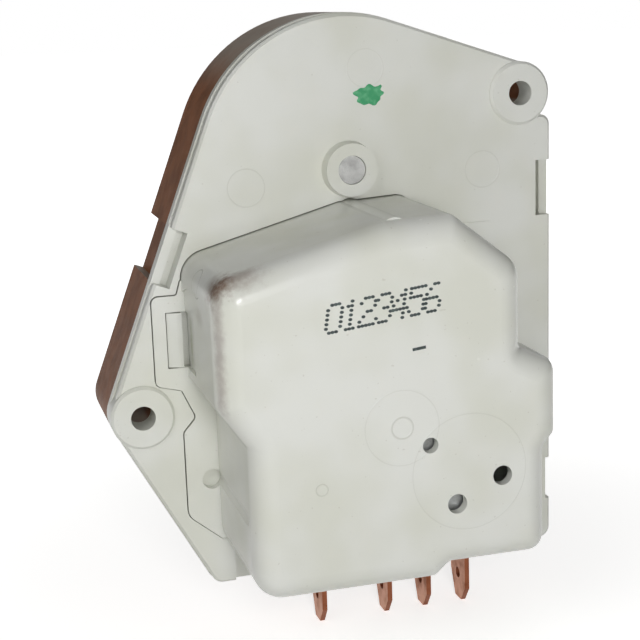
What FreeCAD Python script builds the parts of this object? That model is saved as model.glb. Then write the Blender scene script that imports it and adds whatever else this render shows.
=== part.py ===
"""Defrost timer for a refrigerator: a moulded case with a synchronous motor, a gear train, a cam and switch leaves.

Millimetres. X to the right, +Z up, and the mounting face is the plane Y = 0, with the motor cover towards -Y.
The origin lies midway between the two mounting holes, on the mounting face.
"""

import FreeCAD, Part
import math
import os

V = FreeCAD.Vector

# Mounting pattern and moulded case
hole_x = 30.25
hole_z = 22.35
hole_r = 1.85
boss_r = 4.8
boss_rise = 0.7
case_depth = 17.8
plate_thick = 2.0
wall = 1.6
floor_thick = 1.8
cam_x = 2.8
cam_z = 12.5
crown_r = 22.9
case_right = 35.7
case_bottom = -50.4
case_corner_r = 2.0
foot_left = -21.3
lobe_top = 19.1
lobe_corner_r = 1.75
edge_break = 0.4
joint_gap = 0.15
overlap = 0.1

# Edge of the plate: a front layer, a shadow groove and a rim that meets the rear housing
layer_thick = 1.75
layer_inset = 0.2
groove_width = 0.7
groove_depth = 0.6
skirt_depth = 4.0

# Snap notches in the two long sides
notch_depth = 2.65
notch_length = 8.6
ledge_width = 1.35
side_relief = 1.5
left_notch_z = 1.6
right_notch_z = 7.6
dent_x = 34.7
dent_z = -40.0
dent_length = 6.9

# Terminal bay and tabs
bay_left = -17.3
bay_height = 6.8
bay_depth = 1.9
holder_width = 4.0
holder_rise = 1.0
holder_lead = 0.6
tab_thick = 0.8
tab_width = 6.35
tab_front = 4.2
tab_tip = -61.8
tab_hole_z = -57.4
tab_hole_r = 0.9
tab_taper = 4.4
tab_front_taper = 2.6
tab_tip_half = 1.3
tab_first_x = -2.1
tab_second_x = 9.0
tab_pitch = 6.75
tab_fit = 0.05
shank_rise = 5.6

# Motor cover
cover_height = 24.3
cover_wall = 1.6
cover_round = 3.6
cover_left = -23.4
cover_top_left_z = 1.1
cover_cheek_z = -16.2
cover_waist_x = -19.2
cover_waist_z = -22.2
cover_bottom = -44.5
cover_step_x = 7.4
cover_step_z = -42.6
cover_right = 24.3
cover_hip_z = -26.8
cover_bulge_x = 26.1
cover_bulge_low = -24.8
cover_bulge_top = -14.2
cover_neck_x = 20.6
cover_neck_z = -11.6
cover_shoulder_z = 0.3
ridge_right_x = 10.8
ridge_right_z = 8.1
ridge_left_x = 1.0
ridge_left_z = 7.6
small_r = 1.0
middle_r = 2.2
large_r = 4.2
flange_thick = 1.5
flange_sink = 1.2
flange_left = -28.0
flange_top = -4.4
flange_low = -17.8
flange_inner = -24.2
flange_nook_x = -22.2
flange_nook_z = -23.2
flange_foot = -38.6
pillar_x = 2.9
pillar_z = 5.8
pillar_r = 2.2
window_x = -26.05
window_z = -15.3
window_width = 2.5
window_height = 8.5
panel_depth = 0.3
panel_front = -38.3
panel_top = -3.9
panel_arch = 1.8
panel_bottom = -18.0
slot_depth = 0.8
slot_front = -24.5
hook_rise = 0.6
hook_ramp = 1.5
hook_clear = 0.15
relief_r = 1.55
relief_x = -20.3
relief_z = -33.1
sight_hole_x = 6.2
sight_hole_z = -23.9
sight_hole_r = 1.15
pin_hole_r = 1.45
right_pin_x = 17.0
right_pin_z = -29.6
left_pin_x = 10.1
left_pin_z = -33.0
pad_left = 17.0
pad_right = 26.2
pad_top = 3.0
pad_bottom = -9.0
pad_rise = 0.3

# Synchronous motor
motor_x = 2.1
motor_z = -20.9
stator_r = 16.3
steel = 1.0
stator_depth = 17.0
stator_gap = 0.6
pole_count = 6
pole_r = 8.7
pole_thick = 0.8
pole_end_gap = 1.2
pole_share = 0.4
magnet_r = 8.1
magnet_bore = 3.4
magnet_gap = 2.0
bobbin_gap = 0.3
bobbin_wall = 0.8
coil_margin = 0.8
rotor_shaft_r = 0.75
running_fit = 0.05
motor_post_r = 2.0
motor_post_inset = 2.4

# Gear train
module = 0.6
pressure_angle = 25.0
pinion_teeth = 10
first_teeth = 36
second_teeth = 36
cam_teeth = 60
backlash = 0.12
wheel_thick = 2.0
train_gap = 0.5
wheel_gap = 0.6
pinion_overrun = 0.5
second_gear_angle = 227.0
pin_r = 0.9
collar_wall = 0.9
post_r = 2.2
post_gap = 0.6
socket_depth = 0.8

# Cam, shaft and advance knob
shaft_r = 2.1
shaft_recess = 0.4
bearing_rise = 2.0
bearing_r = 4.2
bearing_top_r = 3.95
cam_high_r = 9.0
cam_mid_r = 7.8
cam_low_r = 6.6
front_lobe_start = 60.0
front_lobe_sweep = 50.0
rear_lobe_start = 150.0
rear_lobe_sweep = 80.0
knob_r = 4.8
knob_shoulder_r = 6.4
knob_shoulder_thick = 2.6
knob_gap = 0.2
knob_recess = 0.3
knob_slot = 1.2
knob_slot_depth = 1.4
knob_fit = 0.1

# Switch leaves
leaf_thick = 0.4
leaf_width = 4.4
leaf_rise = 5.0
leaf_lap = 3.0
make_bridge_rise = 2.6
leaf_top = 15.0
leaf_x = 13.2
contact_z = -6.0
contact_r = 1.5
contact_thick = 0.6
contact_gap = 0.9
leaf_clear = 0.15
fixed_leaf_top = -3.2

plate_y = -case_depth
parting_y = plate_y + plate_thick
skirt_y = plate_y + skirt_depth
floor_y = -floor_thick
cover_y = plate_y - cover_height
flange_y = plate_y + flange_sink
tab_y = plate_y + tab_front
tab_middle_y = tab_y + tab_width / 2
bobbin_bore = pole_r + pole_thick + bobbin_gap
pinion_opening_r = module * pinion_teeth / 2 + 1.4
pinion_neck_r = module * pinion_teeth / 2 - 1.5 * module
bay_top = case_bottom + bay_height
holder_top = bay_top + holder_rise
shank_top = holder_top + shank_rise
leaf_foot = shank_top + leaf_rise
stator_front_y = cover_y + cover_wall + stator_gap
stator_rear_y = stator_front_y + stator_depth
bobbin_front = stator_front_y + steel + bobbin_gap
bobbin_rear = stator_rear_y - steel - bobbin_gap
first_wheel_y = parting_y + train_gap + wheel_thick
second_wheel_y = first_wheel_y + wheel_gap + wheel_thick
cam_wheel_y = floor_y - knob_gap - knob_shoulder_thick
cam_front = parting_y + wheel_gap
cam_step_y = (cam_front + cam_wheel_y - wheel_thick) / 2
os.makedirs("parts", exist_ok=True)


def save(name, shape):
    """Writes one sub-part as a STEP file named after its node."""
    shape.exportStep("parts/" + name + ".step")


def rod(x, z, radius, y_from, y_to):
    """A cylinder along Y."""
    return Part.makeCylinder(radius, y_to - y_from, V(x, y_from, z), V(0, 1, 0))


def tube(x, z, outer, inner, y_from, y_to):
    """A ring along Y."""
    return rod(x, z, outer, y_from, y_to).cut(rod(x, z, inner, y_from, y_to))


def block(x_from, x_to, y_from, y_to, z_from, z_to):
    """A box between two corners."""
    return Part.makeBox(x_to - x_from, y_to - y_from, z_to - z_from, V(x_from, y_from, z_from))


def prism(wire, y_from, y_to):
    """A closed XZ wire, drawn at Y = 0, as a solid between two depths."""
    face = Part.Face(wire)
    face.translate(V(0, y_from, 0))
    return face.extrude(V(0, y_to - y_from, 0))


def turned(shape, x, z, degrees):
    """A copy turned about a line along Y."""
    copy = shape.copy()
    copy.rotate(V(x, 0, z), V(0, -1, 0), degrees)
    return copy


def belt(circles, grow, flat=None):
    """The closed line drawn tight around a ring of circles (x, z, radius), each grown by the same amount.

    After the circle numbered flat the line runs level to the next circle, and meets it in a corner.
    """
    sides = []
    for i in range(len(circles)):
        x0, z0, r0 = circles[i]
        x1, z1, r1 = circles[(i + 1) % len(circles)]
        length = math.hypot(x1 - x0, z1 - z0)
        ux = (x1 - x0) / length
        uz = (z1 - z0) / length
        along = (r0 - r1) / length
        across = math.sqrt(1 - along * along)
        leave = V(ux * along + uz * across, 0, uz * along - ux * across)
        meet = leave
        start = V(x0, 0, z0) + leave * (r0 + grow)
        end = V(x1, 0, z1) + meet * (r1 + grow)
        if i == flat:
            leave = V(0, 0, 1)
            start = V(x0, 0, z0 + r0 + grow)
            end = V(x1 + math.sqrt((r1 + grow) ** 2 - (z1 - start.z) ** 2), 0, start.z)
            meet = (end - V(x1, 0, z1)).normalize()
        sides.append((start, leave, end, meet))
    edges = []
    for i in range(len(circles)):
        start, _, end, meet = sides[i]
        edges.append(Part.LineSegment(start, end).toShape())
        after, leave, _, _ = sides[(i + 1) % len(circles)]
        x, z, r = circles[(i + 1) % len(circles)]
        middle = (meet + leave).normalize() * (r + grow)
        edges.append(Part.Arc(end, V(x, 0, z) + middle, after).toShape())
    return Part.Wire(edges)


def rounded(corners):
    """A closed polygon of corners (x, z, radius), each corner rounded by its own radius."""
    points = [V(x, 0, z) for x, z, _ in corners]
    edges = []
    joints = []
    for i in range(len(corners)):
        before = (points[i - 1] - points[i]).normalize()
        after = (points[(i + 1) % len(points)] - points[i]).normalize()
        radius = corners[i][2]
        half = before.getAngle(after) / 2
        reach = radius / math.tan(half)
        start = points[i] + before * reach
        end = points[i] + after * reach
        middle = points[i] + (before + after).normalize() * (radius / math.sin(half) - radius)
        joints.append((start, middle, end))
    for i in range(len(joints)):
        start, middle, end = joints[i]
        edges.append(Part.Arc(start, middle, end).toShape())
        edges.append(Part.LineSegment(end, joints[(i + 1) % len(joints)][0]).toShape())
    return Part.Wire(edges)


def outer_edges(shape, y):
    """Edges of a shape that lie wholly at one depth."""
    return [e for e in shape.Edges if abs(e.BoundBox.YMin - y) < 1e-4 and abs(e.BoundBox.YMax - y) < 1e-4]


def gear(x, z, teeth, y_from, y_to, phase):
    """An involute spur gear along Y with a tooth centred on the given angle."""
    pitch_r = module * teeth / 2
    base_r = pitch_r * math.cos(math.radians(pressure_angle))
    tip_r = pitch_r + 0.8 * module
    root_r = pitch_r - 1.1 * module
    half_tooth = math.pi / (2 * teeth) - backlash / (4 * pitch_r)
    flat = math.tan(math.radians(pressure_angle)) - math.radians(pressure_angle)
    flank = []
    for r in (root_r, pitch_r, tip_r):
        angle = math.acos(min(1.0, base_r / r))
        flank.append((r, half_tooth + flat - (math.tan(angle) - angle)))
    points = []
    for tooth in range(teeth):
        centre = math.radians(phase) + 2 * math.pi * tooth / teeth
        for r, half in flank:
            points.append(V(x + r * math.cos(centre - half), 0, z + r * math.sin(centre - half)))
        for r, half in reversed(flank):
            points.append(V(x + r * math.cos(centre + half), 0, z + r * math.sin(centre + half)))
    points.append(points[0])
    return prism(Part.makePolygon(points), y_from, y_to)


def angle_to(x0, z0, x1, z1):
    """The direction from one axis to another, in degrees."""
    return math.degrees(math.atan2(z1 - z0, x1 - x0))


# Axes of the gear train, set by the centre distances of the meshing pairs
pinion_pitch_r = module * pinion_teeth / 2
first_mesh = pinion_pitch_r + module * first_teeth / 2
second_mesh = pinion_pitch_r + module * second_teeth / 2
cam_mesh = pinion_pitch_r + module * cam_teeth / 2
second_x = cam_x + cam_mesh * math.cos(math.radians(second_gear_angle))
second_z = cam_z + cam_mesh * math.sin(math.radians(second_gear_angle))
span = math.hypot(second_x - motor_x, second_z - motor_z)
share = (first_mesh ** 2 - second_mesh ** 2 + span ** 2) / (2 * span)
rise = math.sqrt(first_mesh ** 2 - share ** 2)
span_x = (second_x - motor_x) / span
span_z = (second_z - motor_z) / span
first_x = motor_x + share * span_x - rise * span_z
first_z = motor_z + share * span_z + rise * span_x

# Outline of the case: a belt around the crown, the lower mounting boss, the corners and the upper mounting boss
body_circles = [
    (-hole_x, -hole_z, boss_r),
    (foot_left + case_corner_r, case_bottom + case_corner_r, case_corner_r),
    (case_right - case_corner_r, case_bottom + case_corner_r, case_corner_r),
    (case_right - lobe_corner_r, lobe_top - lobe_corner_r, lobe_corner_r),
    (cam_x, cam_z, crown_r),
]
left_side = math.degrees(math.asin((crown_r - boss_r) / math.hypot(cam_x + hole_x, cam_z + hole_z)))
left_lean = 90 - angle_to(-hole_x, -hole_z, cam_x, cam_z) - left_side


def case_layer(grow, y_from, y_to):
    """A slice of the case's outline, grown or shrunk all round."""
    circles = body_circles[:4] + [(hole_x, hole_z, boss_r)] + body_circles[4:]
    return prism(belt(circles, grow, 3), y_from, y_to)


def bevelled_layer(grow, y_from, y_to, y_bevel):
    """A slice of the case's outline whose edge is bevelled at y_bevel, one of its two faces."""
    circles = body_circles[:4] + [(hole_x, hole_z, boss_r)] + body_circles[4:]
    inward = edge_break if y_bevel == y_from else -edge_break
    small = belt(circles, grow - edge_break, 3)
    small.translate(V(0, y_bevel, 0))
    full = belt(circles, grow, 3)
    full.translate(V(0, y_bevel + inward, 0))
    bevel = Part.makeLoft([small, full], True, True)
    rest = case_layer(grow, max(y_from, y_from + inward), min(y_to, y_to + inward))
    return rest.fuse(bevel)


def inner_layer(y_from, y_to):
    """A slice of the space inside the case's wall."""
    return prism(belt(body_circles, -wall), y_from, y_to)


def left_strip(depth_from, depth_to, length, y_from, y_to):
    """A bar along the slanting left side, centred on the left notch."""
    lean = math.radians(left_lean)
    x = cam_x - crown_r / math.cos(lean) + (left_notch_z - cam_z) * math.tan(lean)
    bar = block(x + depth_from, x + depth_to, y_from, y_to, left_notch_z - length / 2, left_notch_z + length / 2)
    return turned(bar, x, left_notch_z, -left_lean)


def right_strip(depth_from, depth_to, length, y_from, y_to):
    """A bar along the upright right side, centred on the right notch."""
    low = right_notch_z - length / 2
    return block(case_right - depth_to, case_right - depth_from, y_from, y_to, low, low + length)


def tab_places():
    """X of the four terminal tabs, from left to right."""
    return [tab_first_x, tab_second_x, tab_second_x + tab_pitch, tab_second_x + 2 * tab_pitch]


def mount_holes(y_from, y_to):
    """The two mounting holes as cutting rods."""
    return rod(-hole_x, -hole_z, hole_r, y_from, y_to).fuse(rod(hole_x, hole_z, hole_r, y_from, y_to))


def pins_cut():
    """The three steel pins as cutting rods, which the posts and the plate hold tightly."""
    first = rod(first_x, first_z, pin_r, parting_y - socket_depth, floor_y + socket_depth)
    second = rod(second_x, second_z, pin_r, parting_y - socket_depth, floor_y + socket_depth)
    motor = rod(motor_x, motor_z, rotor_shaft_r, parting_y + socket_depth, floor_y + socket_depth)
    return first.fuse([second, motor])


def make_rear_housing():
    """Moulded tray with mounting posts, gear posts, side reliefs, the knob opening and the tab slots."""
    body = bevelled_layer(0, skirt_y, 0, 0)
    bosses = [rod(-hole_x, -hole_z, boss_r, skirt_y, floor_y), rod(hole_x, hole_z, boss_r, skirt_y, floor_y)]
    body = body.cut(inner_layer(skirt_y, floor_y).cut(bosses))
    inside = case_layer(-overlap, skirt_y, 0)
    for side in (left_strip, right_strip):
        thicker = side(0, side_relief + wall, notch_length + 2 * wall, skirt_y, floor_y)
        body = body.fuse(thicker.common(inside))
        body = body.cut(side(-side_relief, side_relief, notch_length, skirt_y, 2 * edge_break))
    posts = [
        (first_x, first_z, second_wheel_y + pinion_overrun + post_gap),
        (second_x, second_z, cam_wheel_y + pinion_overrun + post_gap),
        (motor_x, motor_z, first_wheel_y + pinion_overrun + post_gap),
    ]
    for x, z, top in posts:
        body = body.fuse(rod(x, z, post_r, top, floor_y + overlap))
    for x in tab_places():
        half = holder_width / 2
        holder = block(x - half, x + half, tab_y - holder_lead, floor_y + overlap, case_bottom + edge_break, holder_top)
        body = body.fuse(holder.cut(block(x - half, x + half, plate_y, skirt_y + joint_gap, case_bottom, bay_top)))
    for x in tab_places():
        half = tab_thick / 2 + tab_fit
        body = body.cut(block(x - half, x + half, plate_y, tab_y + tab_width + tab_fit, tab_tip, holder_top + wall))
    body = body.cut(rod(cam_x, cam_z, knob_r + knob_fit, floor_y - wall, wall))
    body = body.cut(pins_cut())
    return body.cut(mount_holes(plate_y, wall)).removeSplitter()


def cover_outline():
    """The motor cover's outline, with a rounding for each corner."""
    return rounded([
        (cover_left, cover_top_left_z, large_r),
        (cover_left, cover_cheek_z, middle_r),
        (cover_waist_x, cover_waist_z, small_r),
        (cover_waist_x, cover_bottom, large_r),
        (cover_step_x, cover_bottom, small_r),
        (cover_step_x + middle_r, cover_step_z, small_r),
        (cover_right, cover_step_z, middle_r),
        (cover_right, cover_hip_z, small_r),
        (cover_bulge_x, cover_bulge_low, small_r),
        (cover_bulge_x, cover_bulge_top, middle_r),
        (cover_neck_x, cover_neck_z, small_r),
        (cover_neck_x, cover_shoulder_z, large_r),
        (ridge_right_x, ridge_right_z, middle_r),
        (ridge_left_x, ridge_left_z, small_r),
    ])


def flange_outline():
    """Outline of the flange beside the left wall of the motor cover, with a rounding for each corner."""
    inside = cover_waist_x + middle_r
    return rounded([
        (flange_left, flange_top, small_r),
        (flange_left, flange_low, small_r),
        (flange_inner, flange_low - small_r, small_r / 2),
        (flange_nook_x, flange_nook_z, small_r),
        (flange_inner, flange_nook_z - middle_r, small_r),
        (flange_inner, flange_foot, middle_r),
        (cover_waist_x, flange_foot - large_r, small_r / 4),
        (inside, flange_foot - large_r, small_r / 4),
        (inside, flange_top + middle_r, small_r / 4),
        (cover_left - joint_gap, flange_top + middle_r, small_r / 4),
        (flange_inner, flange_top, small_r / 2),
    ])


def panel_cutter():
    """Shallow panel of the cover's left wall, with an arched top."""
    arch_y = (plate_y + panel_front) / 2
    edges = [
        Part.Arc(V(0, plate_y, panel_top), V(0, arch_y, panel_top + panel_arch), V(0, panel_front, panel_top)).toShape(),
        Part.LineSegment(V(0, panel_front, panel_top), V(0, panel_front, panel_bottom)).toShape(),
        Part.LineSegment(V(0, panel_front, panel_bottom), V(0, plate_y, panel_bottom)).toShape(),
        Part.LineSegment(V(0, plate_y, panel_bottom), V(0, plate_y, panel_top)).toShape(),
    ]
    cutter = Part.Face(Part.Wire(edges)).extrude(V(middle_r, 0, 0))
    cutter.translate(V(cover_left + panel_depth - middle_r, 0, 0))
    return cutter


def make_motor_cover():
    """Deep moulded cap with a rounded front edge, a let-in flange with a latch window, and its moulded holes."""
    body = prism(cover_outline(), cover_y, flange_y)
    body = body.makeFillet(cover_round, outer_edges(body, cover_y))
    body = body.fuse(rod(pillar_x, pillar_z, pillar_r, cover_y + cover_round, flange_y))
    body = body.cut(panel_cutter())
    body = body.fuse(prism(flange_outline(), flange_y - flange_thick, flange_y))
    hollow = prism(cover_outline().makeOffset2D(-cover_wall), cover_y + cover_wall, flange_y)
    body = body.cut(hollow)
    window_top = window_z + window_height
    body = body.cut(block(window_x, window_x + window_width, plate_y - wall, 0, window_z, window_top))
    slot = block(window_x, cover_left + slot_depth, slot_front, 0, window_z, window_top)
    body = body.cut(slot)
    body = body.cut(rod(relief_x, relief_z, relief_r, cover_y + cover_round + small_r, 0))
    holes = [
        (sight_hole_x, sight_hole_z, sight_hole_r),
        (right_pin_x, right_pin_z, pin_hole_r),
        (left_pin_x, left_pin_z, pin_hole_r),
    ]
    for x, z, r in holes:
        body = body.cut(rod(x, z, r, cover_y - wall, cover_y + 2 * cover_wall))
    return body.removeSplitter()


def cover_pocket(y_from, y_to):
    """The space that the cover's rim and flange take up in the plate, with a small gap all round."""
    cover = prism(cover_outline().makeOffset2D(joint_gap), y_from, y_to)
    pillar = rod(pillar_x, pillar_z, pillar_r + joint_gap, y_from, y_to)
    return cover.fuse([pillar, prism(flange_outline().makeOffset2D(joint_gap), y_from, y_to)])


def make_plate_body():
    """The plate's layers: the inset front layer, the groove, and the rim that runs on over the side notches."""
    layer_y = plate_y + layer_thick
    groove_y = layer_y + groove_width
    front = bevelled_layer(-layer_inset, plate_y, layer_y, plate_y)
    for side in (left_strip, right_strip):
        front = front.cut(side(-wall, notch_depth, notch_length, plate_y, layer_y))
    front = front.cut(block(dent_x, case_right, plate_y, layer_y, dent_z - dent_length / 2, dent_z + dent_length / 2))
    ring = case_layer(-groove_depth, layer_y, groove_y).fuse(case_layer(0, groove_y, skirt_y))
    ring = ring.cut(inner_layer(parting_y, skirt_y))
    inside = case_layer(-overlap, layer_y, skirt_y)
    for side in (left_strip, right_strip):
        ring = ring.fuse(side(0, notch_depth + wall, notch_length + 2 * wall, parting_y, skirt_y).common(inside))
        ring = ring.fuse(side(0, ledge_width, notch_length + 2 * edge_break, layer_y, groove_y))
        ring = ring.cut(side(ledge_width, notch_depth, notch_length, layer_y, skirt_y - wall / 2))
    return front.fuse(ring)


def make_hook():
    """Ramped latch hook that fills the window in the cover's flange."""
    left = window_x + hook_clear
    right = cover_left - 2 * joint_gap
    low = window_z + hook_clear
    profile = [
        V(left, plate_y, low),
        V(left + hook_ramp, plate_y - hook_rise, low),
        V(right, plate_y - hook_rise, low),
        V(right, parting_y, low),
        V(left, parting_y, low),
        V(left, plate_y, low),
    ]
    return Part.Face(Part.makePolygon(profile)).extrude(V(0, 0, window_height - 2 * hook_clear))


def make_mid_cover():
    """Moulded plate between the rear housing and the motor cover, with the shaft bearing, rim and latch hook."""
    body = make_plate_body()
    for x, z in ((-hole_x, -hole_z), (hole_x, hole_z)):
        raised = rod(x, z, boss_r, plate_y - boss_rise, skirt_y)
        body = body.fuse(raised.makeChamfer(edge_break, outer_edges(raised, plate_y - boss_rise)))
    bearing = Part.makeCone(bearing_r, bearing_top_r, bearing_rise, V(cam_x, plate_y, cam_z), V(0, -1, 0))
    body = body.fuse(bearing)
    bay_right = case_right - case_corner_r
    body = body.cut(block(bay_left, bay_right, plate_y, plate_y + bay_depth, case_bottom - wall, bay_top))
    shelf = block(bay_left, bay_right, plate_y + bay_depth, skirt_y, case_bottom, bay_top)
    body = body.fuse(shelf)
    for x in tab_places():
        half = tab_thick / 2 + tab_fit + joint_gap
        body = body.cut(block(x - half, x + half, skirt_y - joint_gap, 0, case_bottom - wall, bay_top))
    pad_outline = rounded([
        (pad_left, pad_top, small_r),
        (pad_left, pad_bottom, small_r),
        (pad_right, pad_bottom, small_r),
        (pad_right, pad_top, small_r),
    ])
    body = body.fuse(prism(pad_outline, plate_y - pad_rise, plate_y))
    body = body.cut(cover_pocket(plate_y - wall, flange_y))
    body = body.fuse(make_hook())
    reach = stator_r - motor_post_inset
    for i in range(3):
        angle = math.radians(90 + 120 * i)
        x = motor_x + reach * math.cos(angle)
        z = motor_z + reach * math.sin(angle)
        body = body.fuse(rod(x, z, motor_post_r, stator_rear_y, parting_y))
    body = body.cut(rod(motor_x, motor_z, pinion_opening_r, plate_y - wall, 0))
    body = body.cut(rod(cam_x, cam_z, shaft_r + running_fit, plate_y - 2 * bearing_rise, 0))
    body = body.cut(pins_cut())
    return body.cut(mount_holes(plate_y - wall, 0))


def poles(y_from, y_to, phase):
    """The bent-in poles of one half of the stator."""
    ring = tube(motor_x, motor_z, pole_r + pole_thick, pole_r, y_from, y_to)
    half = math.radians(180 / pole_count * pole_share)
    reach = 2 * pole_r
    kept = []
    for i in range(pole_count):
        middle = math.radians(phase + 360 * i / pole_count)
        corner = V(motor_x, 0, motor_z)
        low = corner + V(reach * math.cos(middle - half), 0, reach * math.sin(middle - half))
        high = corner + V(reach * math.cos(middle + half), 0, reach * math.sin(middle + half))
        wedge = prism(Part.makePolygon([corner, low, high, corner]), y_from, y_to)
        kept.append(ring.common(wedge))
    return kept


def make_stator_cup():
    """Drawn steel cup with six poles bent in from its closed end."""
    front = stator_front_y
    rear = stator_rear_y - steel
    inside = rod(motor_x, motor_z, stator_r - steel, front + steel, rear)
    shell = rod(motor_x, motor_z, stator_r, front, rear).cut(inside)
    shell = shell.fuse(poles(front + steel - overlap, rear - pole_end_gap, 0))
    return shell.cut(rod(motor_x, motor_z, rotor_shaft_r, front, front + steel)).removeSplitter()


def make_stator_plate():
    """Flat steel plate that closes the cup, with six poles bent between those of the cup."""
    front = stator_rear_y - steel
    plate = tube(motor_x, motor_z, stator_r, pinion_opening_r, front, stator_rear_y)
    fingers = poles(stator_front_y + steel + pole_end_gap, front + overlap, 180 / pole_count)
    return plate.fuse(fingers).removeSplitter()


def make_coil_bobbin():
    """Moulded spool around the poles."""
    spool = tube(motor_x, motor_z, stator_r - steel - bobbin_gap, bobbin_bore, bobbin_front, bobbin_rear)
    groove = tube(motor_x, motor_z, stator_r, bobbin_bore + bobbin_wall, bobbin_front + bobbin_wall, bobbin_rear - bobbin_wall)
    return spool.cut(groove)


def make_coil_winding():
    """Wound copper wire on the spool."""
    outer = stator_r - steel - bobbin_gap - coil_margin
    inner = bobbin_bore + bobbin_wall
    return tube(motor_x, motor_z, outer, inner, bobbin_front + bobbin_wall, bobbin_rear - bobbin_wall)


def make_rotor_magnet():
    """Ring magnet of the rotor."""
    front = stator_front_y + steel + magnet_gap
    return tube(motor_x, motor_z, magnet_r, magnet_bore, front, stator_rear_y - steel - magnet_gap)


def make_rotor_hub():
    """Moulded hub of the rotor with the motor pinion at its rear end."""
    front = stator_front_y + steel + magnet_gap / 2
    rear = stator_rear_y - steel - magnet_gap / 2
    hub = rod(motor_x, motor_z, magnet_bore, front, rear)
    pinion_front = first_wheel_y - wheel_thick - pinion_overrun
    neck = rod(motor_x, motor_z, pinion_neck_r, rear - overlap, pinion_front + overlap)
    phase = angle_to(motor_x, motor_z, first_x, first_z)
    pinion = gear(motor_x, motor_z, pinion_teeth, pinion_front, first_wheel_y + pinion_overrun, phase)
    body = hub.fuse([neck, pinion])
    return body.cut(rod(motor_x, motor_z, rotor_shaft_r + running_fit, cover_y, 0)).removeSplitter()


def make_rotor_shaft():
    """Steel pin from the stator cup to the motor post of the rear housing."""
    return rod(motor_x, motor_z, rotor_shaft_r, stator_front_y, floor_y + socket_depth)


def make_first_gear():
    """First wheel of the train with its pinion."""
    wheel_phase = angle_to(first_x, first_z, motor_x, motor_z) + 180 / first_teeth
    wheel = gear(first_x, first_z, first_teeth, first_wheel_y - wheel_thick, first_wheel_y, wheel_phase)
    phase = angle_to(first_x, first_z, second_x, second_z)
    pinion = gear(first_x, first_z, pinion_teeth, first_wheel_y - overlap, second_wheel_y + pinion_overrun, phase)
    body = wheel.fuse(pinion)
    return body.cut(rod(first_x, first_z, pin_r + running_fit, plate_y, 0)).removeSplitter()


def make_second_gear():
    """Second wheel of the train with its long pinion."""
    wheel_phase = angle_to(second_x, second_z, first_x, first_z) + 180 / second_teeth
    wheel = gear(second_x, second_z, second_teeth, second_wheel_y - wheel_thick, second_wheel_y, wheel_phase)
    phase = angle_to(second_x, second_z, cam_x, cam_z)
    pinion = gear(second_x, second_z, pinion_teeth, second_wheel_y - overlap, cam_wheel_y + pinion_overrun, phase)
    collar = rod(second_x, second_z, pin_r + collar_wall, parting_y + train_gap, second_wheel_y)
    body = wheel.fuse([pinion, collar])
    return body.cut(rod(second_x, second_z, pin_r + running_fit, plate_y, 0)).removeSplitter()


def make_pin(x, z):
    """Steel pin held in the rear housing and the plate."""
    return rod(x, z, pin_r, parting_y - socket_depth, floor_y + socket_depth)


def cam_layer(y_from, y_to, low_r, start, sweep):
    """One switching layer: a high disc with a sector cut back to a lower radius."""
    disc = rod(cam_x, cam_z, cam_high_r, y_from, y_to)
    sector = Part.makeCylinder(2 * cam_high_r, y_to - y_from, V(cam_x, y_to, cam_z), V(0, -1, 0), sweep)
    sector = turned(sector, cam_x, cam_z, start)
    return disc.cut(sector.cut(rod(cam_x, cam_z, low_r, y_from, y_to)))


def make_cam_wheel():
    """Moulded cam with two switching layers on a large gear."""
    wheel_phase = angle_to(cam_x, cam_z, second_x, second_z) + 180 / cam_teeth
    wheel = gear(cam_x, cam_z, cam_teeth, cam_wheel_y - wheel_thick, cam_wheel_y, wheel_phase)
    front = cam_layer(cam_front, cam_step_y, cam_low_r, front_lobe_start, front_lobe_sweep)
    rear = cam_layer(cam_step_y, cam_wheel_y - wheel_thick, cam_mid_r, rear_lobe_start, rear_lobe_sweep)
    body = wheel.fuse([front, rear])
    return body.cut(rod(cam_x, cam_z, shaft_r, plate_y, 0)).removeSplitter()


def make_cam_shaft():
    """Steel shaft of the cam, whose front end shows in the bearing on the plate."""
    return rod(cam_x, cam_z, shaft_r, plate_y - bearing_rise + shaft_recess, cam_wheel_y)


def make_advance_knob():
    """Slotted knob at the mounting face that turns the cam by hand."""
    shoulder = rod(cam_x, cam_z, knob_shoulder_r, cam_wheel_y, floor_y - knob_gap)
    knob = rod(cam_x, cam_z, knob_r, floor_y - knob_gap, -knob_recess)
    half = knob_slot / 2
    slot_top = -knob_recess - knob_slot_depth
    slot = block(cam_x - knob_r, cam_x + knob_r, slot_top, 0, cam_z - half, cam_z + half)
    return shoulder.fuse(knob).cut(slot).removeSplitter()


def tab_blade(x, top):
    """The outer tab of a terminal with its tapered tip and detent hole, and the shank inside the case."""
    front = tab_y
    rear = tab_y + tab_width
    points = [
        V(0, front, top),
        V(0, front, tab_tip + tab_front_taper),
        V(0, tab_middle_y - tab_tip_half, tab_tip),
        V(0, tab_middle_y + tab_tip_half, tab_tip),
        V(0, rear, tab_tip + tab_taper),
        V(0, rear, top),
        V(0, front, top),
    ]
    blade = Part.Face(Part.makePolygon(points)).extrude(V(tab_thick, 0, 0))
    blade.translate(V(x - tab_thick / 2, 0, 0))
    hole = Part.makeCylinder(tab_hole_r, 2 * tab_thick, V(x - tab_thick, tab_middle_y, tab_hole_z), V(1, 0, 0))
    return blade.cut(hole)


def strip(x_from, x_to, z_from, z_to):
    """A flat piece of a terminal or leaf, as wide as a leaf and centred on the tabs' depth."""
    half = leaf_width / 2
    return block(x_from, x_to, tab_middle_y - half, tab_middle_y + half, z_from, z_to)


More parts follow.
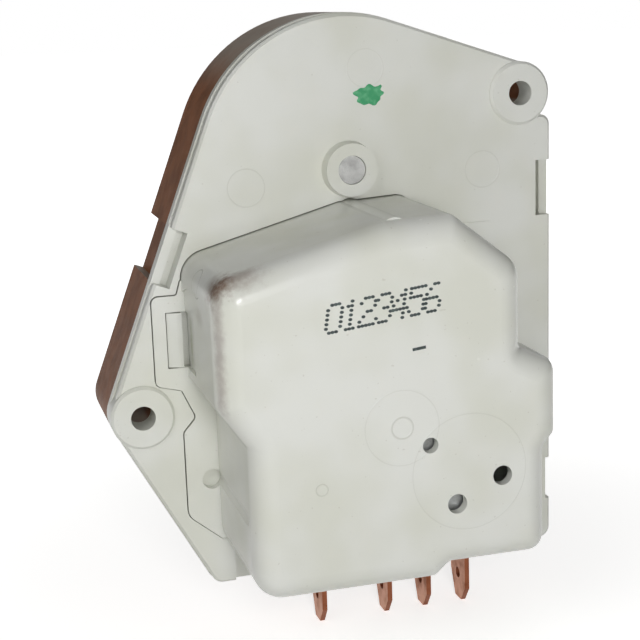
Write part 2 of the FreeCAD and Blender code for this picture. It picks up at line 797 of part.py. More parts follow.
def make_terminal(x, foot_x, top, foot_top):
    """One terminal: tab, shank, and a foot bent over to carry its leaf."""
    half = tab_thick / 2
    body = tab_blade(x, top)
    near = min(x - half, foot_x)
    far = max(x + half, foot_x + tab_thick)
    body = body.fuse(strip(near, far, top - tab_thick, top))
    body = body.fuse(strip(foot_x, foot_x + tab_thick, top - tab_thick, foot_top))
    return body.removeSplitter()


def leaf_face(side):
    """X of the near face of the break leaf (-1) or the make leaf (+1)."""
    if side < 0:
        return leaf_x - leaf_clear - 2 * contact_thick - leaf_thick
    return leaf_x + leaf_thick + contact_gap + 2 * contact_thick


def make_fixed_leaf(side):
    """A stationary leaf beside the moving one."""
    x = leaf_face(side)
    return strip(x, x + leaf_thick, leaf_foot - leaf_lap, fixed_leaf_top)


def make_common_leaf():
    """The moving leaf with its formed follower at the cam."""
    leaf = strip(leaf_x, leaf_x + leaf_thick, leaf_foot - leaf_lap, leaf_top)
    reach = leaf_x - (cam_x + cam_high_r + leaf_clear)
    nose = Part.makeCylinder(reach, leaf_width, V(leaf_x, tab_middle_y - leaf_width / 2, cam_z), V(0, 1, 0))
    nose = nose.common(strip(leaf_x - reach, leaf_x + overlap, cam_z - reach, cam_z + reach))
    return leaf.fuse(nose).removeSplitter()


def contact(x_from, x_to):
    """A silver contact button along X."""
    return Part.makeCylinder(contact_r, x_to - x_from, V(x_from, tab_middle_y, contact_z), V(1, 0, 0))


def main():
    tabs = tab_places()
    save("rear_housing", make_rear_housing())
    save("mid_cover", make_mid_cover())
    save("motor_cover", make_motor_cover())
    save("stator_cup", make_stator_cup())
    save("stator_plate", make_stator_plate())
    save("coil_bobbin", make_coil_bobbin())
    save("coil_winding", make_coil_winding())
    save("rotor_magnet", make_rotor_magnet())
    save("rotor_hub", make_rotor_hub())
    save("rotor_shaft", make_rotor_shaft())
    save("first_gear", make_first_gear())
    save("first_gear_pin", make_pin(first_x, first_z))
    save("second_gear", make_second_gear())
    save("second_gear_pin", make_pin(second_x, second_z))
    save("cam_wheel", make_cam_wheel())
    save("cam_shaft", make_cam_shaft())
    save("advance_knob", make_advance_knob())
    half = tab_thick / 2
    fixed_top = leaf_foot + leaf_lap
    make_top = shank_top + make_bridge_rise
    save("terminal_motor", make_terminal(tabs[0], tabs[0] - half, shank_top, fixed_top))
    save("terminal_break", make_terminal(tabs[1], leaf_face(-1) - tab_thick, shank_top, fixed_top))
    save("terminal_common", make_terminal(tabs[2], leaf_x + leaf_thick, shank_top, leaf_foot))
    save("terminal_make", make_terminal(tabs[3], leaf_face(1) + leaf_thick, make_top, fixed_top))
    save("break_leaf", make_fixed_leaf(-1))
    save("common_leaf", make_common_leaf())
    save("make_leaf", make_fixed_leaf(1))
    break_x = leaf_face(-1) + leaf_thick
    save("break_contact", contact(break_x, break_x + contact_thick))
    left_button = contact(leaf_x - contact_thick, leaf_x)
    right_button = contact(leaf_x + leaf_thick, leaf_x + leaf_thick + contact_thick)
    save("common_contacts", Part.makeCompound([left_button, right_button]))
    make_x = leaf_face(1)
    save("make_contact", contact(make_x - contact_thick, make_x))


main()
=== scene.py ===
"""A defrost timer on a pale table: the finishes of its pieces, the ink marks on its case and the studio.

The frame is in metres: X to the right, Z up, the mounting face at Y = 0 and the motor cover towards -Y. The
origin lies midway between the two mounting holes. Sizes below are in millimetres, except the studio's.
"""

import logging
import math
from dataclasses import dataclass
from enum import Enum

import bmesh
import bpy
from mathutils import Matrix, Vector


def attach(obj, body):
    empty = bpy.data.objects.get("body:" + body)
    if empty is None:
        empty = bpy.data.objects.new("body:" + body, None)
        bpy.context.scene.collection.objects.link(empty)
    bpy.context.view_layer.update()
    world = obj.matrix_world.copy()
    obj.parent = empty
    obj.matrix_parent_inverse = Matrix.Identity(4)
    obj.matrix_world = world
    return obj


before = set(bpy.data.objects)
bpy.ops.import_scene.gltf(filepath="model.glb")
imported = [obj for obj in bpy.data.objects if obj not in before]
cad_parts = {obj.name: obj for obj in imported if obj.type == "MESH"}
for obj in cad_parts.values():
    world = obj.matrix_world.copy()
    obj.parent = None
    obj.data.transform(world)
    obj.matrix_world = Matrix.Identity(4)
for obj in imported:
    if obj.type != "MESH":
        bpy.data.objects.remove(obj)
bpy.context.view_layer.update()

MM = 0.001

# The plate's front, the motor cover's front and the table top.
PLATE_Y = -17.8
COVER_Y = -42.1
FLOOR_Z = -62.0

# Each new noise is shifted on by this much, so that no two patterns line up.
NOISE_STEP = (7.3, 3.1, 5.7)

# A Mix node's sockets for two colours and their mix. Their names are shared with its sockets for numbers.
MIX_FIRST, MIX_SECOND, MIX_RESULT = 6, 7, 2

CREVICE_SAMPLES = 6
COAT_ROUGHNESS = 0.25

# A face counts as a front when the Y of its normal is below this.
FRONT_FACING = -0.9

Colour = tuple[float, float, float]
Socket = bpy.types.NodeSocket

log = logging.getLogger("defrost_timer")


def srgb(red: int, green: int, blue: int) -> Colour:
    """Turn a display colour into the linear colour that shaders use.

    Args:
        red: Red from 0 to 255.
        green: Green from 0 to 255.
        blue: Blue from 0 to 255.

    Returns:
        The linear red, green and blue.
    """
    parts = []
    for value in (red, green, blue):
        share = value / 255
        parts.append(share / 12.92 if share <= 0.04045 else ((share + 0.055) / 1.055) ** 2.4)
    return (parts[0], parts[1], parts[2])


def clear_selection() -> None:
    """Deselect every object, so that the next operator acts on the new piece alone."""
    bpy.ops.object.select_all(action="DESELECT")


def pick(piece: bpy.types.Object) -> None:
    """Make one piece the only selected one and the active one.

    Args:
        piece: The piece.
    """
    clear_selection()
    piece.select_set(True)
    bpy.context.view_layer.objects.active = piece


class Pattern(Enum):
    """How a noise is stretched over a surface."""

    EVEN = (1.0, 1.0, 1.0)
    UPRIGHT = (1.0, 1.0, 0.12)
    AROUND_AXIS = (0.05, 1.0, 0.05)


class Graph:
    """A material's node tree, written one node a call, with places in millimetres."""

    def __init__(self, name: str) -> None:
        """Start an empty material.

        Args:
            name: Name of the material.
        """
        self.material = bpy.data.materials.new(name)
        self.material.use_nodes = True
        self.tree = self.material.node_tree
        self.tree.nodes.clear()
        coordinates = self.tree.nodes.new("ShaderNodeTexCoord")
        self.place = self.mapped(coordinates.outputs["Object"], (0.0, 0.0, 0.0), 1.0 / MM)
        self.count = 0

    def mapped(self, vector: Socket, shift: Colour, scale: float | Colour) -> Socket:
        """Scale a vector about the origin, then move it.

        Args:
            vector: The vector to map.
            shift: How far to move it.
            scale: One scale, or one for each axis.

        Returns:
            The mapped vector.
        """
        node = self.tree.nodes.new("ShaderNodeMapping")
        self.tree.links.new(vector, node.inputs["Vector"])
        node.inputs["Location"].default_value = shift
        node.inputs["Scale"].default_value = (scale,) * 3 if isinstance(scale, float) else scale
        return node.outputs["Vector"]

    def put(self, socket: Socket, value: Socket | float | Colour) -> None:
        """Link a socket to another, or set its value.

        Args:
            socket: The input to set.
            value: A socket, a number or a colour.
        """
        if isinstance(value, bpy.types.NodeSocket):
            self.tree.links.new(value, socket)
        elif isinstance(value, tuple) and len(socket.default_value) == 4:
            socket.default_value = (*value, 1.0)
        else:
            socket.default_value = value

    def maths(self, operation: str, first: Socket | float, second: Socket | float = 0.0,
              clamp: bool = False) -> Socket:
        """Add a Math node.

        Args:
            operation: Name of the operation.
            first: First value.
            second: Second value.
            clamp: Whether the result stays between 0 and 1.

        Returns:
            The result.
        """
        node = self.tree.nodes.new("ShaderNodeMath")
        node.operation = operation
        node.use_clamp = clamp
        self.put(node.inputs[0], first)
        self.put(node.inputs[1], second)
        return node.outputs["Value"]

    def scaled(self, value: Socket, scale: float, offset: float) -> Socket:
        """Multiply a value, then add to it.

        Args:
            value: The value.
            scale: What it is multiplied by.
            offset: What is added.

        Returns:
            The result.
        """
        return self.maths("ADD", self.maths("MULTIPLY", value, scale), offset)

    def noise(self, size: float, detail: float, pattern: Pattern = Pattern.EVEN, roughness: float = 0.5) -> Socket:
        """Add a noise whose features are about one size.

        Args:
            size: Size of a feature in millimetres.
            detail: Number of finer layers.
            pattern: How the noise is stretched.
            roughness: Strength of the finer layers.

        Returns:
            The noise, around 0.5.
        """
        self.count += 1
        shift = tuple(step * self.count for step in NOISE_STEP)
        scale = tuple(part / size for part in pattern.value)
        node = self.tree.nodes.new("ShaderNodeTexNoise")
        self.put(node.inputs["Vector"], self.mapped(self.place, shift, scale))
        node.inputs["Scale"].default_value = 1.0
        node.inputs["Detail"].default_value = detail
        node.inputs["Roughness"].default_value = roughness
        return node.outputs["Fac"]

    def between(self, value: Socket, low: float, high: float) -> Socket:
        """Turn a range of a value into 0 to 1 with a soft start and end.

        Args:
            value: The value.
            low: Where the result is 0.
            high: Where the result is 1.

        Returns:
            The result.
        """
        node = self.tree.nodes.new("ShaderNodeMapRange")
        node.interpolation_type = "SMOOTHSTEP"
        self.put(node.inputs["Value"], value)
        node.inputs["From Min"].default_value = min(low, high)
        node.inputs["From Max"].default_value = max(low, high)
        node.inputs["To Min"].default_value = 0.0 if low < high else 1.0
        node.inputs["To Max"].default_value = 1.0 if low < high else 0.0
        return node.outputs["Result"]

    def patches(self, size: float, detail: float, low: float, high: float, roughness: float = 0.5) -> Socket:
        """Turn a noise into soft-edged patches.

        Args:
            size: Size of a patch in millimetres.
            detail: Number of finer layers.
            low: Where in the noise a patch starts.
            high: Where in the noise it is full.
            roughness: Strength of the finer layers.

        Returns:
            1 on a patch and 0 between the patches.
        """
        return self.between(self.noise(size, detail, roughness=roughness), low, high)

    def mix(self, share: Socket | float, first: Socket | Colour, second: Socket | Colour) -> Socket:
        """Mix two colours.

        Args:
            share: How much of the second colour.
            first: First colour.
            second: Second colour.

        Returns:
            The mixed colour.
        """
        node = self.tree.nodes.new("ShaderNodeMix")
        node.data_type = "RGBA"
        self.put(node.inputs["Factor"], share)
        self.put(node.inputs[MIX_FIRST], first)
        self.put(node.inputs[MIX_SECOND], second)
        return node.outputs[MIX_RESULT]

    def tint(self, mask: Socket, share: float, colour: Socket | Colour, other: Colour) -> Socket:
        """Mix in a colour where a mask is, by no more than a share.

        Args:
            mask: Where the colour goes, from 0 to 1.
            share: How much of it there is at most.
            colour: The colour so far.
            other: The colour that is mixed in.

        Returns:
            The mixed colour.
        """
        return self.mix(self.maths("MULTIPLY", mask, share), colour, other)

    def distance(self, centre: Colour, stretch: Colour) -> Socket:
        """Measure how far the surface is from a point.

        Args:
            centre: The point in millimetres.
            stretch: How much each axis counts; 0 leaves an axis out.

        Returns:
            The distance in millimetres.
        """
        shift = tuple(-part * share for part, share in zip(centre, stretch))
        node = self.tree.nodes.new("ShaderNodeVectorMath")
        node.operation = "LENGTH"
        self.put(node.inputs[0], self.mapped(self.place, shift, stretch))
        return node.outputs["Value"]

    def circle_line(self, centre: Colour, radius: float, width: float, stretch: Colour) -> Socket:
        """Draw a soft circle line around an axis.

        Args:
            centre: Centre of the circle in millimetres.
            radius: Radius of the circle.
            width: Half width of the line.
            stretch: Which axes count.

        Returns:
            1 on the line and 0 away from it.
        """
        away = self.maths("ABSOLUTE", self.maths("SUBTRACT", self.distance(centre, stretch), radius))
        return self.between(away, width, 0.0)

    def bump(self, height: Socket, depth: float, normal: Socket | None = None) -> Socket:
        """Raise the surface by a height map.

        Args:
            height: Height from 0 to 1.
            depth: Depth in millimetres.
            normal: A bump to add to.

        Returns:
            The normal.
        """
        node = self.tree.nodes.new("ShaderNodeBump")
        node.inputs["Strength"].default_value = 1.0
        node.inputs["Distance"].default_value = depth * MM
        self.put(node.inputs["Height"], height)
        if normal is not None:
            self.put(node.inputs["Normal"], normal)
        return node.outputs["Normal"]

    def facing(self, axis: str) -> Socket:
        """Read one axis of the surface's direction.

        Args:
            axis: X, Y or Z.

        Returns:
            From -1 to 1.
        """
        return self.split(self.tree.nodes.new("ShaderNodeNewGeometry").outputs["Normal"], axis)

    def split(self, vector: Socket, axis: str) -> Socket:
        """Take one axis out of a vector.

        Args:
            vector: The vector.
            axis: X, Y or Z.

        Returns:
            That axis.
        """
        node = self.tree.nodes.new("ShaderNodeSeparateXYZ")
        self.tree.links.new(vector, node.inputs["Vector"])
        return node.outputs[axis]

    def crevice(self, reach: float) -> Socket:
        """Find corners and gaps by ambient occlusion, for painting shade into them.

        Args:
            reach: How far it looks, in millimetres.

        Returns:
            1 deep in a corner and 0 in the open.
        """
        node = self.tree.nodes.new("ShaderNodeAmbientOcclusion")
        node.samples = CREVICE_SAMPLES
        node.inputs["Distance"].default_value = reach * MM
        return self.maths("SUBTRACT", 1.0, node.outputs["AO"], clamp=True)

    def surface(self, colour: Socket, roughness: Socket | float, normal: Socket, metallic: float = 0.0,
                coat: float = 0.0, specular: float = 0.5) -> bpy.types.Material:
        """Close the tree with a surface shader.

        Args:
            colour: Base colour.
            roughness: Roughness.
            normal: Bumped normal.
            metallic: 1 for a metal.
            coat: Weight of a clear coat.
            specular: Strength of the reflection.

        Returns:
            The finished material.
        """
        shader = self.tree.nodes.new("ShaderNodeBsdfPrincipled")
        self.put(shader.inputs["Base Color"], colour)
        self.put(shader.inputs["Roughness"], roughness)
        self.put(shader.inputs["Normal"], normal)
        shader.inputs["Metallic"].default_value = metallic
        shader.inputs["Coat Weight"].default_value = coat
        shader.inputs["Coat Roughness"].default_value = COAT_ROUGHNESS
        shader.inputs["Specular IOR Level"].default_value = specular
        output = self.tree.nodes.new("ShaderNodeOutputMaterial")
        self.tree.links.new(shader.outputs["BSDF"], output.inputs["Surface"])
        return self.material


@dataclass(frozen=True)
class Circle:
    """A witness line that the mould left on a face."""

    centre: Colour
    radius: float
    width: float = 0.16
    strength: float = 1.0
    stretch: Colour = (1.0, 0.0, 1.0)


@dataclass(frozen=True)
class Stain:
    """A soft-edged stain around a point."""

    centre: Colour
    reach: float
    strength: float
    stretch: Colour = (1.0, 1.0, 1.0)
    colour: Colour = srgb(112, 76, 50)


@dataclass(frozen=True)
class IvoryMoulding:
    """Pale glossy thermoplastic with flow shading, faint specks, mould lines, stains and painted shade in its
    corners and gaps.
    """

    name: str
    base: Colour = srgb(226, 227, 221)
    shade: Colour = srgb(217, 218, 207)
    cream: Colour = srgb(230, 226, 214)
    speck: Colour = srgb(140, 130, 108)
    # Grey-olive tone of the painted shade in corners and gaps, also used for the mould lines.
    painted_light_and_line_tone: Colour = srgb(138, 138, 118)
    circles: tuple[Circle, ...] = ()
    stains: tuple[Stain, ...] = ()
    roughness: float = 0.34
    flow_size: float = 14.0
    cloud_size: float = 3.2
    cloud_share: float = 0.10
    speck_size: float = 0.55
    speck_share: float = 0.18
    painted_shade_reach: float = 1.3
    painted_shade_share: float = 0.55
    ragged_size: float = 1.4
    grain_size: float = 0.32
    grain_depth: float = 0.006
    wave_size: float = 7.5
    wave_depth: float = 0.06
    line_depth: float = 0.05
    line_share: float = 0.22
    gloss_size: float = 2.6
    gloss_change: float = 0.05

    def build(self) -> bpy.types.Material:
        """Build the material.

        Returns:
            The material.
        """
        graph = Graph(self.name)
        colour = graph.mix(graph.patches(self.flow_size, 2.0, 0.35, 0.68), self.base, self.shade)
        cloud = graph.patches(self.cloud_size, 3.0, 0.50, 0.78)
        colour = graph.tint(cloud, self.cloud_share, colour, self.cream)
        speck = graph.patches(self.speck_size, 1.0, 0.735, 0.80)
        colour = graph.tint(speck, self.speck_share, colour, self.speck)
        # Painted shade: corners and gaps found by ambient occlusion are darkened towards the grey-olive tone.
        corner = graph.between(graph.crevice(self.painted_shade_reach), 0.42, 0.95)
        colour = graph.tint(corner, self.painted_shade_share, colour, self.painted_light_and_line_tone)
        ragged = graph.noise(self.ragged_size, 4.0, roughness=0.65)
        for stain in self.stains:
            spread = graph.maths("MULTIPLY", ragged, stain.reach)
            away = graph.maths("ADD", graph.distance(stain.centre, stain.stretch), spread)
            mark = graph.between(away, stain.reach * 1.5, stain.reach * 0.5)
            colour = graph.tint(mark, stain.strength, colour, stain.colour)
        normal = graph.bump(graph.noise(self.grain_size, 2.0), self.grain_depth)
        normal = graph.bump(graph.noise(self.wave_size, 1.0), self.wave_depth, normal)
        for circle in self.circles:
            line = graph.circle_line(circle.centre, circle.radius, circle.width, circle.stretch)
            normal = graph.bump(line, self.line_depth * circle.strength, normal)
            colour = graph.tint(line, self.line_share * circle.strength, colour, self.painted_light_and_line_tone)
        smoothest = self.roughness - self.gloss_change / 2
        rough = graph.scaled(graph.noise(self.gloss_size, 2.0), self.gloss_change, smoothest)
        return graph.surface(colour, rough, normal)


@dataclass(frozen=True)
class BrownMoulding:
    """Brown filled moulding with mottling, pale flecks and a painted sheen along its upward faces."""

    name: str = "brown_moulding"
    base: Colour = srgb(146, 96, 66)
    dark: Colour = srgb(124, 80, 52)
    fleck: Colour = srgb(158, 120, 96)
    # Pale grey of the painted sheen on the upward faces.
    painted_light_and_line_tone: Colour = srgb(176, 168, 156)
    mottle_size: float = 4.2
    fleck_size: float = 0.5
    fleck_share: float = 0.35
    sheen_patch_size: float = 2.0
    grain_size: float = 0.28
    grain_depth: float = 0.018
    wave_size: float = 5.0
    wave_depth: float = 0.10
    gloss_size: float = 1.7
    gloss_change: float = 0.20
    smoothest: float = 0.46
    specular: float = 0.2

    def build(self) -> bpy.types.Material:
        """Build the material.

        Returns:
            The material.
        """
        graph = Graph(self.name)
        colour = graph.mix(graph.patches(self.mottle_size, 4.0, 0.38, 0.66), self.base, self.dark)
        fleck = graph.patches(self.fleck_size, 2.0, 0.60, 0.74)
        colour = graph.tint(fleck, self.fleck_share, colour, self.fleck)
        # Painted sheen: faces that look upwards are lightened in patches towards pale grey, standing in for the
        # highlight there.
        top = graph.between(graph.facing("Z"), 0.50, 0.86)
        painted_sheen_mask = graph.maths("MULTIPLY", top, graph.scaled(graph.noise(self.sheen_patch_size, 3.0), 0.5, 0.55))
        colour = graph.mix(painted_sheen_mask, colour, self.painted_light_and_line_tone)
        normal = graph.bump(graph.noise(self.grain_size, 2.0), self.grain_depth)
        normal = graph.bump(graph.noise(self.wave_size, 1.0), self.wave_depth, normal)
        rough = graph.scaled(graph.noise(self.gloss_size, 3.0), self.gloss_change, self.smoothest)
        return graph.surface(colour, rough, normal, specular=self.specular)


@dataclass(frozen=True)
class SheetMetal:
    """Rolled or drawn metal with streaks, tarnish and, where given, a painted dark reflection on the faces that
    look towards -Y.
    """

    name: str
    base: Colour
    tarnish: Colour
    streak: Pattern = Pattern.UPRIGHT
    roughness: float = 0.36
    tarnish_share: float = 0.6
    painted_dark_reflection: Colour | None = None
    painted_dark_reflection_share: float = 0.85
    patch_size: float = 2.4
    streak_size: float = 0.15
    streak_share: float = 0.30
    streak_depth: float = 0.012
    dent_size: float = 0.9
    dent_depth: float = 0.02
    metallic: float = 0.9

    def build(self) -> bpy.types.Material:
        """Build the material.

        Returns:
            The material.
        """
        graph = Graph(self.name)
        patch = graph.patches(self.patch_size, 4.0, 0.40, 0.72, roughness=0.6)
        colour = graph.tint(patch, self.tarnish_share, self.base, self.tarnish)
        streaks = graph.noise(self.streak_size, 3.0, self.streak)
        colour = graph.tint(graph.between(streaks, 0.5, 0.75), self.streak_share, colour, self.tarnish)
        # Painted dark reflection: faces that look towards -Y are darkened, standing in for the dark surroundings
        # that they reflect.
        if self.painted_dark_reflection is not None:
            camera_facing = graph.between(graph.facing("Y"), -0.30, -0.75)
            colour = graph.tint(camera_facing, self.painted_dark_reflection_share, colour, self.painted_dark_reflection)
        normal = graph.bump(streaks, self.streak_depth)
        normal = graph.bump(graph.noise(self.dent_size, 2.0), self.dent_depth, normal)
        return graph.surface(colour, graph.scaled(patch, 0.22, self.roughness), normal, metallic=self.metallic)


@dataclass(frozen=True)
class WoundWire:
    """Enamelled copper wire in close turns around the motor's axis, with painted shade in the grooves between the
    turns.
    """

    name: str = "winding"
    pitch: float = 0.28
    base: Colour = srgb(186, 98, 56)
    # Dark copper of the painted shade in the grooves between the turns.
    painted_groove_shade: Colour = srgb(92, 40, 22)
    worn: Colour = srgb(206, 128, 78)
    worn_size: float = 2.0
    worn_share: float = 0.4
    wander_size: float = 3.0
    wander: float = 0.35
    turn_depth: float = 0.09
    roughness: float = 0.28

    def build(self) -> bpy.types.Material:
        """Build the material.

        Returns:
            The material.
        """
        graph = Graph(self.name)
        wander = graph.maths("MULTIPLY", graph.noise(self.wander_size, 1.0), self.wander)
        along = graph.maths("ADD", graph.split(graph.place, "Y"), wander)
        turn = graph.maths("SINE", graph.maths("MULTIPLY", along, 2 * math.pi / self.pitch))
        height = graph.scaled(turn, 0.5, 0.5)
        # Painted shade: the low parts between the turns are coloured darker, where shade falls.
        colour = graph.mix(graph.between(height, 0.0, 0.7), self.painted_groove_shade, self.base)
        colour = graph.tint(graph.patches(self.worn_size, 3.0, 0.45, 0.75), self.worn_share, colour, self.worn)
        normal = graph.bump(height, self.turn_depth)
        return graph.surface(colour, self.roughness, normal, metallic=0.45, coat=0.5)


@dataclass(frozen=True)
class PlainMoulding:
    """A self-coloured moulding or ceramic for the inner pieces, with shading, grain and painted shade in its
    corners and gaps.
    """

    name: str
    base: Colour
    shade: Colour
    roughness: float = 0.45
    grain_size: float = 0.4
    grain_depth: float = 0.015
    shade_size: float = 3.5
    painted_shade_reach: float = 0.8
    painted_shade_share: float = 0.5
    painted_shade_value: float = 0.55
    wave_size: float = 4.0
    wave_depth: float = 0.06
    gloss_size: float = 1.5
    gloss_change: float = 0.2

    def build(self) -> bpy.types.Material:
        """Build the material.

        Returns:
            The material.
        """
        graph = Graph(self.name)
        colour = graph.mix(graph.patches(self.shade_size, 3.0, 0.36, 0.68), self.base, self.shade)
        # Painted shade: corners and gaps found by ambient occlusion are darkened towards a darker copy of the
        # shade tone.
        corner = graph.between(graph.crevice(self.painted_shade_reach), 0.4, 0.95)
        painted_light_and_line_tone = tuple(part * self.painted_shade_value for part in self.shade)
        colour = graph.tint(corner, self.painted_shade_share, colour, painted_light_and_line_tone)
        normal = graph.bump(graph.noise(self.grain_size, 2.0), self.grain_depth)
        normal = graph.bump(graph.noise(self.wave_size, 1.0), self.wave_depth, normal)
        smoothest = self.roughness - self.gloss_change / 2
        rough = graph.scaled(graph.noise(self.gloss_size, 3.0), self.gloss_change, smoothest)
        return graph.surface(colour, rough, normal)


@dataclass(frozen=True)
class PrintInk:
    """Ink that lies on a moulding, thin in places."""

    name: str
    base: Colour
    thin: Colour
    patch_size: float
    roughness: float = 0.42
    grain_size: float = 0.2
    grain_depth: float = 0.006

    def build(self) -> bpy.types.Material:
        """Build the material.

        Returns:
            The material.
        """
        graph = Graph(self.name)
        colour = graph.mix(graph.patches(self.patch_size, 3.0, 0.45, 0.72), self.base, self.thin)
        normal = graph.bump(graph.noise(self.grain_size, 1.0), self.grain_depth)
        return graph.surface(colour, self.roughness, normal)


@dataclass(frozen=True)
class TableTop:
    """A plain pale table that shows white to the camera and keeps the object's shadow."""

    name: str = "table_top"
    base: Colour = srgb(240, 240, 238)
    shade: Colour = srgb(232, 232, 230)
    shade_size: float = 60.0
    shade_share: float = 0.25
    lift: float = 0.66
    far_lift: float = 1.0
    near: float = 20.0
    far: float = 200.0

    def build(self) -> bpy.types.Material:
        """Build the material.

        Returns:
            The material.
        """
        graph = Graph(self.name)
        colour = graph.tint(graph.noise(self.shade_size, 2.0), self.shade_share, self.base, self.shade)
        matt = graph.tree.nodes.new("ShaderNodeBsdfDiffuse")
        graph.put(matt.inputs["Color"], colour)
        glow = graph.tree.nodes.new("ShaderNodeEmission")
        path = graph.tree.nodes.new("ShaderNodeLightPath")
        seen = graph.maths("MAXIMUM", path.outputs["Is Camera Ray"], path.outputs["Is Glossy Ray"])
        seen = graph.maths("MAXIMUM", seen, path.outputs["Is Transmission Ray"])
        away = graph.between(graph.distance((0.0, 0.0, 0.0), (1.0, 1.0, 0.0)), self.near, self.far)
        lift = graph.scaled(away, self.far_lift - self.lift, self.lift)
        graph.put(glow.inputs["Strength"], graph.maths("MULTIPLY", seen, lift))
        both = graph.tree.nodes.new("ShaderNodeAddShader")
        graph.tree.links.new(matt.outputs["BSDF"], both.inputs[0])
        graph.tree.links.new(glow.outputs["Emission"], both.inputs[1])
        output = graph.tree.nodes.new("ShaderNodeOutputMaterial")
        graph.tree.links.new(both.outputs["Shader"], output.inputs["Surface"])
        return graph.material


def dress(node: str, material: bpy.types.Material) -> None:
    """Give a carried-over node its finish.

    Args:
        node: Name of the node.
        material: The finish.
    """
    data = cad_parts[node].data
    data.materials.clear()
    data.materials.append(material)
    for polygon in data.polygons:
        polygon.material_index = 0
    log.info("dressed %s in %s", node, material.name)


def finish_piece(piece: bpy.types.Object, name: str, body: str,
                 material: bpy.types.Material) -> None:
    """Name a new piece, dress it and tie it to a body.

    Args:
        piece: The piece.
        name: Its name.
        body: The body that it rides on.
        material: Its finish.
    """
    piece.name = name
    piece.data.name = name
    piece.data.materials.clear()
    piece.data.materials.append(material)
    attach(piece, body)
    log.info("built %s with %d faces", name, len(piece.data.polygons))


def settle(piece: bpy.types.Object) -> None:
    """Write a piece's place into its mesh, so that its object sits at the origin.

    Args:
        piece: The piece.
    """
    pick(piece)
    bpy.ops.object.transform_apply(location=True, rotation=True, scale=True)


def raise_front(piece: bpy.types.Object, inset: float, rise: float) -> None:
    """Give the front of a piece a bevelled rim, so that it stands up like dried ink.

    Args:
        piece: The piece, whose front looks towards -Y.
        inset: Width of the rim in millimetres.
        rise: Height of the rim in millimetres.
    """
    pick(piece)
    bpy.ops.object.mode_set(mode="EDIT")
    bpy.ops.mesh.select_mode(type="FACE")
    mesh = bmesh.from_edit_mesh(piece.data)
    for face in mesh.faces:
        face.select = face.normal.y < FRONT_FACING
    mesh.select_flush(True)
    bmesh.update_edit_mesh(piece.data)
    bpy.ops.mesh.inset(thickness=inset * MM, depth=rise * MM)
    bpy.ops.object.mode_set(mode="OBJECT")


